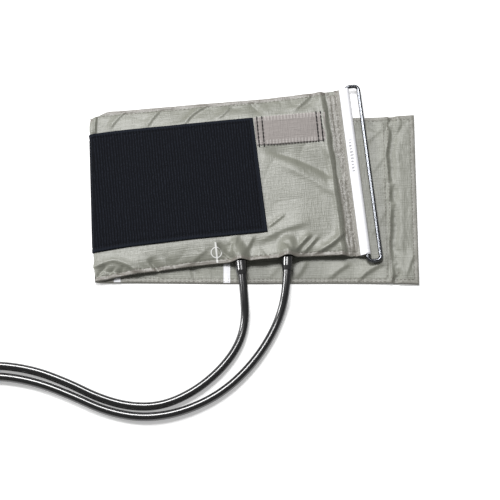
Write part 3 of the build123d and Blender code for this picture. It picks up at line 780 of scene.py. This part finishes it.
# --- loop patch -------------------------------------------------------------------------------------------
PATCH = dict(UPPER, front=lambda u: through(u, (-6, 1, 22, 60, 143), (24.0, 24.4, 25.8, 26.5, 26.6)),
             back=lambda u: through(u, (-6, 6, 22, 80, 143), (127.8, 128.6, 129.0, 128.6, 128.2)))
PATCH_UNDER = dict(TAIL, front=lambda x: 25.0 + 0 * x, back=lambda x: 127.8 + 0 * x)
PATCH_END = 142.4
PATCH_SEAM = 4.2
PATCH_UNDER_LENGTH = 110.0                        # along the tail, from the fold line
PATCH_END_ROWS = np.array((5.2, 4.7, 4.2, 3.7, 3.2, 2.4, 1.6, 1.0, 0.6, 0.3, 0.1, 0.0))  # in from its ends


def patch_depth(half, end, u, v):
    """How far a place on the patch is from its nearest edge."""
    return np.minimum(np.minimum(v - half["front"](u), half["back"](u) - v), end - u)


def pile_edge(depth):
    """The patch's edge rounds off, and its stitch row sinks into the pile."""
    inside = np.clip(1.0 - depth, 0, 1.0)
    return -0.85 * (1 - np.sqrt(1 - inside ** 2)) - 0.4 * bell(depth - PATCH_SEAM, 0.7)


def patch_top(u, v):
    """Height of the patch's pile over the upper half."""
    thickness = PATCH_TOP - COVER_TOP
    depth = patch_depth(PATCH, patch_end(v), u, v)
    return COVER_TOP + upper_relief(u, v) + exit_tent(u, v) + thickness + pile_edge(depth)


def patch_end(v):
    """u of the patch's end, which slants a little."""
    return PATCH_END + 0.4 - 1.6 * (v - 26) / 102


def patch_slant(share):
    """How far the patch's cloth runs at a share of its width, before it is set along the leaning fold."""
    v = 26 + 102 * share
    return patch_end(v) - HALF_LIE * v


def patch_bottom(x, y):
    """Height of the patch's pile under the tail."""
    return 0.05 - pile_edge(patch_depth(PATCH_UNDER, PATCH_UNDER_LENGTH, x, y))


def loop_patch_pieces():
    """The navy loop patch: one stretch over the fold and the upper half, one under the tail."""
    rows = spaced_rows(0, WIDTH, 1.1)
    lengths = np.concatenate((steps(NOSE, 136, 1.1), PATCH_END - PATCH_END_ROWS))
    grid, coordinates = half_sheet(PATCH, lengths, rows, patch_top, MID_Z,
                                   FOLD_RADIUS + PATCH_TOP - COVER_TOP, far_end=patch_slant)
    depth = patch_depth(PATCH, patch_end(coordinates[1]), *coordinates)
    edge = 0.8 * ease((3.0 - depth) / 1.2)
    top = sheet_piece("loop_patch_top", grid, 0.8, loop_pile, coordinates, paint=edge)
    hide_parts("loop_patch", "spine_patch")
    lengths = np.concatenate((steps(NOSE, 104, 1.2), PATCH_UNDER_LENGTH - PATCH_END_ROWS))
    grid, coordinates = half_sheet(PATCH_UNDER, lengths, rows, patch_bottom, MID_Z,
                                   FOLD_RADIUS + TAIL_BOTTOM)
    grid, coordinates = flipped(grid, coordinates)
    depth = patch_depth(PATCH_UNDER, PATCH_UNDER_LENGTH, *coordinates)
    edge = 0.8 * ease((3.0 - depth) / 1.2)
    under = sheet_piece("loop_patch_under", grid, 0.8, loop_pile, coordinates, paint=edge)
    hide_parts("tail_patch")
    for piece, half, length in ((top, UPPER, 0.147), (under, TAIL, 0.113)):
        bend_at_fold(piece, half, MID_Z, FOLD_RADIUS + TAIL_BOTTOM)


def stitch_rows(name, half, height, lines, pitch, length, radius, material):
    """Rows of stitches on the cloth's face, one every pitch, along lines that each run from start to end."""
    centres, ways = [], []
    for start, end in lines:
        count = max(2, int(math.dist(start, end) / pitch))
        share = (np.arange(count) + 0.5) / count
        along = start[0] + (end[0] - start[0]) * share
        across = start[1] + (end[1] - start[1]) * share
        line = half["place"](along, across, height(along, across)) / MM + (0, 0, 0.5 * radius)
        centres.append(line)
        ways.append(np.gradient(line, axis=0))
    return stitches(name, np.concatenate(centres), np.concatenate(ways), length, radius, material)


def edge_rows(half, edge, inset, low, high, count):
    """A row of stitches along one curved edge of a half, as short straight lines."""
    along = np.linspace(low, high, count + 1)
    across = half[edge](along) + (inset if edge == "front" else -inset)
    points = list(zip(along.tolist(), across.tolist()))
    return list(zip(points, points[1:]))


def patch_stitches_piece():
    """The navy stitch row round the patch, sunk in its pile."""
    inset, corner = PATCH_SEAM, PATCH_END - PATCH_SEAM
    lines = (edge_rows(PATCH, "front", inset, 9, corner + 0.4, 8)
             + edge_rows(PATCH, "back", inset, 12, corner - 1.0, 8))
    lines.append(((corner + 0.2, 26.6 + inset), (corner - 1.0, 128.2 - inset)))
    piece = stitch_rows("patch_stitch_row", UPPER, patch_top, lines, 3.2, 2.5, 0.24, navy_thread)
    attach(piece, "cuff_body")
    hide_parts("patch_stitches")


# --- strap ------------------------------------------------------------------------------------------------
STRAP_START, STRAP_END = STRAP_LOW[0] - 0.4, STRAP_HIGH[0] + 0.4
STRAP_FRONT, STRAP_BACK = STRAP_LOW[1] + 0.4, STRAP_HIGH[1] + 0.6
STRAP_SEAMS = (STRAP_START + 1.7, STRAP_START + 5.9, STRAP_END - 6.4, STRAP_END - 2.5)
STRAP_TACK = 7.5                                  # sewn down this far in from each end
STRAP_RISE = 0.25                                 # the loop stands this far off the cover
WEBBING = 0.85
PICOT_PITCH, PICOT_BAND = 2.7, 4.6                # the bars woven into both edges


def strap_top(u, v):
    """Height of the webbing: down on the cover at both ends and a little off it between."""
    loose = ease((u - STRAP_START - STRAP_TACK) / 4) * ease((STRAP_END - STRAP_TACK - u) / 4)
    tacks = sum(bell(u - at, 0.8) for at in STRAP_SEAMS)
    beside = ease((STRAP_FRONT - v) / 0.6) + ease((v - STRAP_BACK) / 0.6)
    return COVER_TOP + upper_relief(u, v) + WEBBING * (1 - 0.7 * beside) + STRAP_RISE * loose - 0.35 * tacks


def strap_piece():
    """A flat webbing loop for the gauge: a plain middle, and edge bands with raised pale bars across them."""
    along = steps(STRAP_START, STRAP_END, 0.45)[:, None]
    share = np.concatenate((np.linspace(0, 0.2, 14), np.linspace(0.2, 0.8, 26)[1:-1],
                            np.linspace(0.8, 1, 14)))[None, :]
    bars = 0.5 + 0.5 * np.cos(2 * math.pi * along / PICOT_PITCH)
    width = STRAP_BACK - STRAP_FRONT
    edge = np.minimum(share, 1 - share) * width
    outwards = 0.3 * bars * np.sign(share - 0.5) * bell(edge, 1.0)
    slant = (along - STRAP_START) / (STRAP_END - STRAP_START)
    across = STRAP_FRONT + 0.5 * (1 - slant) + width * share + outwards - 1.0 * slant * (1 - share)
    over_end = 2.0 * (share - 0.5) * slant
    banded = bars ** 1.5 * ease((PICOT_BAND - edge) / 0.8)
    height = (strap_top(along, across) + 0.22 * banded + 0.12 * bell(edge - PICOT_BAND, 0.7)
              - 0.8 * bell(edge, 0.6))
    grid = upper_place(along + over_end, across, height)
    piece = sheet_piece("gauge_webbing", grid, WEBBING * 0.85, strap_webbing,
                        (along + 0 * share, across), paint=banded)
    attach(piece, "cuff_body")
    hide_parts("gauge_strap")


def strap_stitches_piece():
    """Two black stitch rows across each end of the strap, and one along its front edge."""
    lines = [((at + slant, STRAP_FRONT - 1.2), (at + slant + 0.6, STRAP_BACK + 0.9))
             for at, slant in zip(STRAP_SEAMS, (0, 0, -0.6, -0.8))]
    ends = stitch_rows("strap_end_rows", UPPER, strap_top, lines, 3.1, 3.8, 0.5, black_thread)
    along_front = [((STRAP_START + 8, STRAP_FRONT + 0.5), (STRAP_END - 8, STRAP_FRONT - 0.3))]
    edge = stitch_rows("strap_edge_row", UPPER, strap_top, along_front, 2.4, 1.5, 0.22, black_thread)
    piece = join("strap_stitch_rows", ends, edge)
    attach(piece, "cuff_body")
    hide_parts("strap_stitches")


# --- artery mark ------------------------------------------------------------------------------------------
def artery_mark_piece():
    """A printed ring and a line across it, following the cloth."""
    centre = (MARK_LOW + MARK_HIGH) / 2
    radius, stroke = (MARK_HIGH[0] - MARK_LOW[0]) / 2, 0.8
    circle = np.linspace(0, 2 * math.pi, 73)[None, :]
    rings = np.linspace(radius - stroke, radius, 4)[:, None]
    u, v = centre[0] + rings * np.cos(circle), centre[1] + rings * np.sin(circle)
    ring = sheet_piece("artery_ring", upper_place(u, v, cover_top(u, v) + 0.2), 0.2, white_ink, (u, v))
    u, v = np.meshgrid(centre[0] + np.linspace(-0.7, 0.7, 4),
                       np.linspace(MARK_LOW[1], MARK_HIGH[1], 40), indexing="ij")
    line = sheet_piece("artery_line", upper_place(u, v, cover_top(u, v) + 0.22), 0.2, white_ink, (u, v))
    piece = join("artery_mark_print", ring, line)
    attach(piece, "cuff_body")
    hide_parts("artery_mark")


# --- tape over the ring hem -------------------------------------------------------------------------------
def tape_piece():
    """The white index tape: over the ring hem, round the bar and back under, with a plain row of ticks."""
    rows = spaced_rows(0, WIDTH, 0.5)
    lengths = steps(TAPE_START, ROLL_START, 0.4)
    share = rows[None, :] / WIDTH
    along = np.repeat(lengths[:, None], len(rows), axis=1)
    across = front_edge(along) + (back_edge(along) - front_edge(along)) * share
    over = 0.38
    flat = upper_place(along, across, hem_top(along, across) + over - 0.25 * bell(along - TAPE_START, 0.4))
    roll, roll_across = round_the_bar(rows, over, TAPE_START)
    grid = np.concatenate((flat, roll))
    roll_along = ROLL_START + 0.7 * np.arange(1, len(roll) + 1)[:, None] + 0 * roll_across
    cloth_along = np.concatenate((along, roll_along))
    cloth_across = np.concatenate((across, roll_across))
    in_row = ease((cloth_across - 71) / 0.5) * ease((101 - cloth_across) / 0.5)
    tick_length = 2.6 + 0.8 * np.sin(cloth_across * 1.9)
    past_start = cloth_along - TAPE_START - 2.2
    ticks = in_row * ease((bell((cloth_across + 1.4) % 2.8 - 1.4, 0.75) - 0.35) / 0.3)
    ticks = ticks * ease(past_start / 0.3) * ease((tick_length - past_start) / 0.3)
    row_marks = 0.4 * np.maximum(bell(cloth_across - 4.4, 0.3), bell(cloth_across - 6.2, 0.3))
    marks = np.maximum(0.8 * ticks, row_marks)
    piece = sheet_piece("index_ribbon", grid, 0.33, white_tape, (cloth_along, cloth_across), paint=marks)
    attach(piece, "cuff_body")
    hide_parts("index_tape")


def hem_stitches_piece():
    """Grey stitch rows of the upper half: along its front and back hems and beside the pocket seam."""
    lines = (edge_rows(UPPER, "front", 3.6, 8, 110, 9) + edge_rows(UPPER, "front", 3.6, 126, 148, 3)
             + edge_rows(UPPER, "front", 3.6, 164, 203, 4) + edge_rows(UPPER, "back", 3.6, 12, 203, 14))
    lines += [((at, 2.0), (at, 146.0)) for at in HEM_SEAMS]
    piece = stitch_rows("hem_stitch_rows", UPPER, hem_top, lines, 3.1, 2.3, 0.19, grey_thread)
    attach(piece, "cuff_body")
    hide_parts("hem_stitches")


# --- tail -------------------------------------------------------------------------------------------------
TAIL_SPLIT = 106.0                                # under the second range line
TAIL_END_ROWS = np.array((5.4, 4.8, 4.3, 3.8, 3.4, 3.0, 2.4, 1.8, 1.2, 0.7, 0.4, 0.2, 0.05, 0.0))


def tail_under(x, y):
    """Height of the tail's outer face, which lies downwards."""
    return tail_surface(x, y) - 2 * CLOTH


def tail_pieces():
    """The tail's two cloths, each in two lengths: one round the fold, one from the second range line out to
    the end past the hook flap's seam.
    """
    rows = spaced_rows(0, WIDTH, 1.4)
    inner_middle = (LINING_TOP - CLOTH + TAIL_TOP) / 2
    near = steps(NOSE, TAIL_SPLIT, 1.5)
    far = np.concatenate((steps(TAIL_SPLIT, 196, 1.6), steps(196, TAIL_END_X - 6, 0.8)[1:],
                          TAIL_END_X - TAIL_END_ROWS))
    faces = (("tail_inner_cloth", tail_surface, inner_middle, inner_middle - TAIL_TOP, lining_nylon,
              "lining_nylon"),
             ("tail_outer_cloth", tail_under, MID_Z, FOLD_RADIUS, cover_nylon, "cover_nylon"))
    for name, height, middle, radius, material, slot in faces:
        grid, coordinates = half_sheet(TAIL, near, rows, height, middle, radius)
        far_along = np.repeat(far[:, None], len(rows), axis=1)
        far_width = tail_back(far_along) - tail_front(far_along)
        across = tail_front(far_along) + far_width * rows[None, :] / WIDTH
        far_along = far_along + TAIL["lean"] * across * (TAIL_END_X - far_along) / (TAIL_END_X - TAIL_SPLIT)
        far_grid = tail_place(far_along, across, height(far_along, across))
        far_coordinates = (far_along, across)
        if name == "tail_outer_cloth":
            grid, coordinates = flipped(grid, coordinates)
            far_grid, far_coordinates = flipped(far_grid, far_coordinates)
        # Half-strength darker painted colour on the hems, here and on the far length below: partly the sewn
        # hems' brownish tone, partly painted shade along the edges
        hem = 0.5 * ease((3.0 - half_depth(TAIL, *coordinates)) / 0.8)
        piece = sheet_piece(name, grid, CLOTH * 0.95, material, coordinates, paint=hem)
        bend_at_fold(piece, TAIL, middle, radius)
        depth = np.minimum(half_depth(TAIL, *far_coordinates), TAIL_END_X - far_coordinates[0])
        flap = sheet_piece(name + "_far", far_grid, CLOTH * 0.95, material, far_coordinates,
                           paint=0.5 * ease((3.0 - depth) / 0.8))
        seam = [tuple(tail_place(SEAM_X + offset, WIDTH / 2, TAIL_BOTTOM)) for offset in (-2.5, 2.5)]
        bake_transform(flap)
    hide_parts("tail_lining")
    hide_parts("tail_cover")
    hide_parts("tail_end_lining")
    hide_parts("tail_end_cover")


RANGE_LINES = ((14.2, 19.6), (103.2, 108.6))


def range_lines_piece():
    """Two white ribbons sewn across the tail, following its cloth."""
    ribbons = []
    for low, high in RANGE_LINES:
        along, share = np.meshgrid(np.linspace(low, high, 9), np.linspace(0, 1, 130), indexing="ij")
        across = tail_front(along) + 0.2 + (tail_back(along) - tail_front(along) - 0.4) * share
        edge = np.minimum(along - low, high - along)
        height = tail_surface(along, across) + 0.3 - 0.15 * bell(edge - 0.9, 0.4)
        ribbons.append(sheet_piece("range_ribbon", tail_place(along, across, height), 0.25, white_tape,
                                   (along, across), paint=0 * along))
    piece = join("range_ribbons", *ribbons)
    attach(piece, "tail")
    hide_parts("range_lines")


def tail_stitches_pieces():
    """Grey stitch rows: the long hems and seam on the tail, and the hook strip's rows on the end flap."""
    lines = edge_rows(TAIL, "front", 3.4, 24, 236, 12) + edge_rows(TAIL, "back", 3.4, 206, 236, 3)
    lines += edge_rows(TAIL, "front", 1.3, 24, 236, 12)
    lines.append(((SEAM_X - 1.8, 4), (SEAM_X - 1.8, 141)))
    piece = stitch_rows("tail_stitch_rows", TAIL, tail_surface, lines, 3.1, 2.3, 0.19, grey_thread)
    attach(piece, "tail")
    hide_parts("tail_stitches")
    low, high, end = 2.8, 143.6, TAIL_END_X - 3.4
    lines = [((SEAM_X + 1.6, low), (end, low - 0.6)), ((end, low - 0.6), (end, high)),
             ((SEAM_X + 1.6, high - 1.4), (end, high)), ((SEAM_X + 1.4, low), (SEAM_X + 1.4, high - 1.4)),
             ((SEAM_X + 1.6, low), (SEAM_X + 9, low + 7))]
    flap = stitch_rows("hook_stitch_rows", TAIL, tail_surface, lines, 3.1, 2.3, 0.22, grey_thread)
    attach(flap, "tail_end")
    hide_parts("hook_stitches")


def hook_strip_piece():
    """The hook strip under the end flap: a flat strip with rounded edges, hooks downwards."""
    along, across = np.meshgrid(spaced_rows(SEAM_X - 0.4, TAIL_END_X - 0.6, 1.5),
                                spaced_rows(0.4, 145.6, 2.0), indexing="ij")
    depth = np.minimum(np.minimum(along - SEAM_X + 0.4, TAIL_END_X - 0.6 - along),
                       np.minimum(across - 0.4, 145.6 - across))
    height = 0.05 + 0.6 * (1 - np.sqrt(1 - np.clip(1 - depth, 0, 1) ** 2))
    grid, coordinates = flipped(tail_place(along, across, height), (along, across))
    piece = sheet_piece("hook_tape_strip", grid, 0.8, hook_tape, coordinates)
    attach(piece, "tail_end")
    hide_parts("hook_strip")


# --- bladder ----------------------------------------------------------------------------------------------
def bladder_piece():
    """The flat rubber bladder in its pocket: a crowned closed bag with its corners drawn in."""
    low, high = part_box("bladder_back")
    middle, half = (np.array(low) + np.array(high)) / 2, (np.array(high) - np.array(low)) / 2
    s, t = np.meshgrid(np.linspace(-1, 1, 90), np.linspace(-1, 1, 60), indexing="ij")
    corner = 1 - 0.05 * (np.abs(s) * np.abs(t)) ** 6
    crown = np.sqrt(np.clip((1 - s ** 8) * (1 - t ** 8), 0, 1))
    height = low.z + 0.0005 + 0.0005 * crown
    grid = np.stack((middle[0] + half[0] * s * corner, middle[1] + half[1] * t * corner, height), axis=-1)
    piece = sheet_piece("air_bladder", grid, 0.4, bladder_rubber, (s, t))
    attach(piece, "cuff_body")
    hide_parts("bladder_back", "bladder_front")


def port_pieces():
    """The moulded ports on the bladder: a flat flange under each tent of the cover, and a nipple above it.

    A turned profile: each pair is a radius and a height; the smallest ring all but closes the top.
    """
    profile = np.array(((6.0, 0.0), (6.0, 0.5), (5.4, 0.9), (3.4, 1.1),
                        (2.9, 1.6), (2.7, 2.6), (2.2, 3.0), (0.02, 3.1)))
    turn = np.linspace(0, 2 * math.pi, 49)
    for number in (1, 2):
        low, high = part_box(f"bladder_port_{number}")
        centre = np.array(((low.x + high.x) / 2, high.y - 0.006, low.z - 0.0012))
        rings = np.stack((profile[:, :1] * np.cos(turn), profile[:, :1] * np.sin(turn),
                          profile[:, 1:] + 0 * turn), axis=-1) * MM
        piece = make_mesh(f"bladder_nipple_{number}", (rings + centre).reshape(-1, 3),
                          grid_quads(len(profile), len(turn))[:, ::-1], sleeve_rubber)
        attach(piece, "cuff_body")
        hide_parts(f"bladder_port_{number}")


# --- tubes ------------------------------------------------------------------------------------------------
def tube_pieces():
    """The two air tubes: each a round tube on a smooth spline through its route."""
    for number, (route, length) in enumerate(zip(TUBE_ROUTES, TUBE_LENGTHS), start=1):
        curve = bpy.data.curves.new(f"air_tube_{number}", "CURVE")
        curve.dimensions = "3D"
        curve.bevel_depth = TUBE_RADIUS
        curve.bevel_resolution = 6
        curve.resolution_u = 16
        curve.use_fill_caps = True
        spline = curve.splines.new("NURBS")
        spline.points.add(len(route) - 1)
        for point, place in zip(spline.points, route):
            point.co = (*place, 1.0)
        spline.order_u = 3
        spline.use_endpoint_u = True
        curve.materials.append(tube_rubber)
        piece = bpy.data.objects.new(f"air_tube_{number}", curve)
        bpy.context.scene.collection.objects.link(piece)
        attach(piece, "cuff_body")
        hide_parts(f"tube_{number}")


# --- CAD pieces that stay, with their finishes ------------------------------------------------------------
def finish_cad_pieces():
    """The ring, the sleeves and the connectors keep their CAD meshes and get their finishes."""
    finishes = {"ring": chromed_wire, "tube_sleeve_1": sleeve_rubber, "tube_sleeve_2": sleeve_rubber,
                "tube_connector_1": connector_plastic, "tube_connector_2": connector_plastic}
    for name, material in finishes.items():
        kept = frame["nodes"][name]
        kept.data.materials.clear()
        kept.data.materials.append(material)


# --- floor, light and camera ------------------------------------------------------------------------------
def make_floor():
    """A plain pale floor."""
    material, _, surface = new_material("pale_floor", Roughness=0.9)
    surface.inputs["Base Color"].default_value = linear("f4f4f4")
    surface.inputs["Emission Color"].default_value = linear("ffffff")
    surface.inputs["Emission Strength"].default_value = 0.35
    size = 6.0
    corners = np.array([(-size, -size, 0), (size, -size, 0), (size, size, 0), (-size, size, 0)])
    mesh = bpy.data.meshes.new("floor")
    mesh.from_pydata(corners.tolist(), [], [(0, 1, 2, 3)])
    mesh.materials.append(material)
    floor = bpy.data.objects.new("floor", mesh)
    bpy.context.scene.collection.objects.link(floor)


def soft_light(name, size, power, azimuth, elevation, distance):
    """A square softbox that faces the cuff from that direction."""
    lamp = bpy.data.lights.new(name, "AREA")
    lamp.shape, lamp.size, lamp.energy = "SQUARE", size, power
    box = bpy.data.objects.new(name, lamp)
    a, e = math.radians(azimuth), math.radians(elevation)
    box.location = (distance * math.sin(a) * math.cos(e), -distance * math.cos(a) * math.cos(e),
                    distance * math.sin(e))
    box.rotation_euler = (math.radians(90 - elevation), 0, a)
    bpy.context.scene.collection.objects.link(box)


def light_the_scene():
    """A dim white room, a high softbox behind the cuff and a low one to the side of it."""
    world = bpy.data.worlds.new("studio")
    bpy.context.scene.world = world
    world.use_nodes = True
    backdrop = world.node_tree.nodes["Background"]
    backdrop.inputs["Color"].default_value = linear("ffffff")
    backdrop.inputs["Strength"].default_value = 0.2
    soft_light("key_softbox", 1.0, 78, -171, 61, 3.0)
    soft_light("low_softbox", 0.7, 44, -115, 26, 3.0)
    bpy.context.scene.view_settings.view_transform = "Standard"


def place_camera():
    """The camera looks down at the cuff from a little left of its front."""
    azimuth, elevation, distance = math.radians(-6.0), math.radians(71.0), 1.4724
    target = np.array([-0.0092, -0.0463, 0.0])
    lens = bpy.data.cameras.new("camera")
    lens.lens, lens.sensor_width = 129.6, 36.0
    camera = bpy.data.objects.new("camera", lens)
    away = np.array([math.sin(azimuth) * math.cos(elevation), -math.cos(azimuth) * math.cos(elevation),
                     math.sin(elevation)])
    camera.location = target + distance * away
    camera.rotation_euler = (math.pi / 2 - elevation, 0, azimuth)
    bpy.context.scene.collection.objects.link(camera)
    bpy.context.scene.camera = camera


bladder_piece()
port_pieces()
upper_lining_piece()
tail_pieces()
upper_cover_piece()
loop_patch_pieces()
patch_stitches_piece()
strap_piece()
strap_stitches_piece()
artery_mark_piece()
tape_piece()
hem_stitches_piece()
range_lines_piece()
tail_stitches_pieces()
hook_strip_piece()
tube_pieces()
finish_cad_pieces()
make_floor()
light_the_scene()
place_camera()
